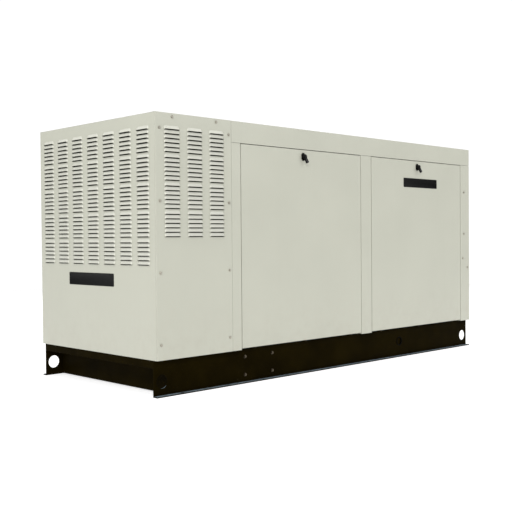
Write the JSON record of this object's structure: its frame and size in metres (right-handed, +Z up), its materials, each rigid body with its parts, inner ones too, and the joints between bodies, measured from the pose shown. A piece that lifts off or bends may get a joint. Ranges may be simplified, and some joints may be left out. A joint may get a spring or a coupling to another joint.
{
  "type": "home standby generator",
  "caption": "Standby generator in a long sheet-metal enclosure with a louvred discharge end, lift-off doors on one side and a steel rail base.",
  "frame": {"origin": "centre of the four anchor bolts, on the plane that the base stands on", "axes": "+X along the length away from the louvred discharge end; +Y from the two doors towards the rear; +Z up"},
  "size_m": [2.673, 1.052, 1.32],
  "materials": {
    "enclosure_paint": "satin",
    "base_paint": "satin",
    "zinc_steel": "satin",
    "black_latch": "gloss",
    "nameplate_black": "gloss",
    "acoustic_foam": "matte",
    "black_rubber": "matte",
    "radiator_black": "satin",
    "black_plastic": "matte",
    "engine_iron": "satin",
    "cast_aluminium": "satin",
    "dark_steel": "satin",
    "hot_steel": "matte",
    "aluminised_steel": "satin",
    "machined_steel": "satin",
    "copper_winding": "satin",
    "filter_orange": "gloss",
    "yellow_plastic": "gloss",
    "red_plastic": "gloss",
    "panel_grey": "satin",
    "box_paint": "satin"
  },
  "bodies": {
    "base_and_enclosure": {"base_rail_front": "base_paint", "base_rail_rear": "base_paint", "base_end_channels": "base_paint", "base_cross_members": "base_paint", "base_bolts": "zinc_steel", "end_panel_left": "enclosure_paint", "end_panel_right": "enclosure_paint", "corner_panel_front": "enclosure_paint", "corner_panel_rear": "enclosure_paint", "roof_plenum": "enclosure_paint", "roof_main": "enclosure_paint", "door_posts": "enclosure_paint", "right_corner_posts": "enclosure_paint", "rear_panels": "enclosure_paint", "plenum_bulkhead": "enclosure_paint", "enclosure_screws": "zinc_steel", "nameplate_end": "nameplate_black", "door_hooks": "zinc_steel", "door_seals": "black_rubber", "radiator": "radiator_black", "fan_shroud": "black_plastic", "drive_belt": "black_rubber", "coolant_hoses": "black_rubber", "engine_block": "engine_iron", "cylinder_heads": "cast_aluminium", "intake_manifold": "cast_aluminium", "air_cleaner": "black_plastic", "oil_pan": "dark_steel", "oil_filter": "filter_orange", "exhaust_manifolds": "hot_steel", "exhaust_pipes": "hot_steel", "muffler": "aluminised_steel", "charging_alternator": "cast_aluminium", "starter_motor": "dark_steel", "bell_housing": "cast_aluminium", "alternator_stator": "dark_steel", "vibration_mounts": "black_rubber", "battery": "black_plastic", "control_box": "box_paint", "control_panel": "panel_grey", "circuit_breaker": "black_plastic", "fuel_regulator": "cast_aluminium"},
    "door_1": {"door_1_panel": "enclosure_paint", "door_1_insulation": "acoustic_foam", "door_1_latch_body": "black_latch"},
    "door_1_latch": {"door_1_latch_handle": "black_latch"},
    "door_2": {"door_2_panel": "enclosure_paint", "door_2_insulation": "acoustic_foam", "door_2_latch_body": "black_latch", "nameplate_door": "nameplate_black"},
    "door_2_latch": {"door_2_latch_handle": "black_latch"},
    "crank_and_rotor": {"crankshaft": "machined_steel", "alternator_rotor": "copper_winding"},
    "cooling_fan": {"fan": "black_plastic"},
    "charging_rotor": {"charging_alternator_pulley": "machined_steel"},
    "filler_cap": {"radiator_cap": "machined_steel"},
    "oil_dipstick": {"dipstick": "yellow_plastic"},
    "mode_knob": {"mode_switch": "black_plastic"},
    "stop_button": {"emergency_stop": "red_plastic"},
    "breaker_handle": {"breaker_toggle": "black_plastic"}
  },
  "joints": [
    {"name": "door_1_tilt", "type": "hinge", "parent": "base_and_enclosure", "child": "door_1", "pos_m": [-0.3115, -0.508, 0.18], "axis": [1, 0, 0], "range_deg": [0, 30]},
    {"name": "door_1_latch_turn", "type": "hinge", "parent": "door_1", "child": "door_1_latch", "pos_m": [-0.3275, -0.508, 1.172], "axis": [0, -1, 0], "range_deg": [0, 90]},
    {"name": "door_2_tilt", "type": "hinge", "parent": "base_and_enclosure", "child": "door_2", "pos_m": [0.7425, -0.508, 0.18], "axis": [1, 0, 0], "range_deg": [0, 30]},
    {"name": "door_2_latch_turn", "type": "hinge", "parent": "door_2", "child": "door_2_latch", "pos_m": [0.7265, -0.508, 1.172], "axis": [0, -1, 0], "range_deg": [0, 90]},
    {"name": "crank_spin", "type": "hinge", "parent": "base_and_enclosure", "child": "crank_and_rotor", "pos_m": [-0.5675, 0, 0.47], "axis": [1, 0, 0], "continuous": true},
    {"name": "fan_spin", "type": "hinge", "parent": "base_and_enclosure", "child": "cooling_fan", "pos_m": [-0.7275, 0, 0.66], "axis": [1, 0, 0], "continuous": true},
    {"name": "charging_alternator_spin", "type": "hinge", "parent": "base_and_enclosure", "child": "charging_rotor", "pos_m": [-0.6155, 0, 0.885], "axis": [1, 0, 0], "continuous": true},
    {"name": "radiator_cap_turn", "type": "hinge", "parent": "base_and_enclosure", "child": "filler_cap", "pos_m": [-0.8085, 0, 1.23], "axis": [0, 0, 1], "range_deg": [0, 90]},
    {"name": "dipstick_pull", "type": "slide", "parent": "base_and_enclosure", "child": "oil_dipstick", "axis": [0, 0, 1], "range_m": [0, 0.35]},
    {"name": "mode_switch_turn", "type": "hinge", "parent": "base_and_enclosure", "child": "mode_knob", "pos_m": [0.7225, -0.391, 0.965], "axis": [0, -1, 0], "range_deg": [-60, 60]},
    {"name": "emergency_stop_press", "type": "slide", "parent": "base_and_enclosure", "child": "stop_button", "axis": [0, 1, 0], "range_m": [0, 0.006], "stiffness_N_per_m": 900, "springref_m": -0.004},
    {"name": "breaker_toggle_throw", "type": "hinge", "parent": "base_and_enclosure", "child": "breaker_handle", "pos_m": [0.5925, -0.378, 0.86], "axis": [1, 0, 0], "range_deg": [-18, 18]}
  ],
  "couplings": [
    {"joint": "fan_spin", "follows": "crank_spin", "ratio": 1.2143},
    {"joint": "charging_alternator_spin", "follows": "crank_spin", "ratio": 2.6562}
  ]
}
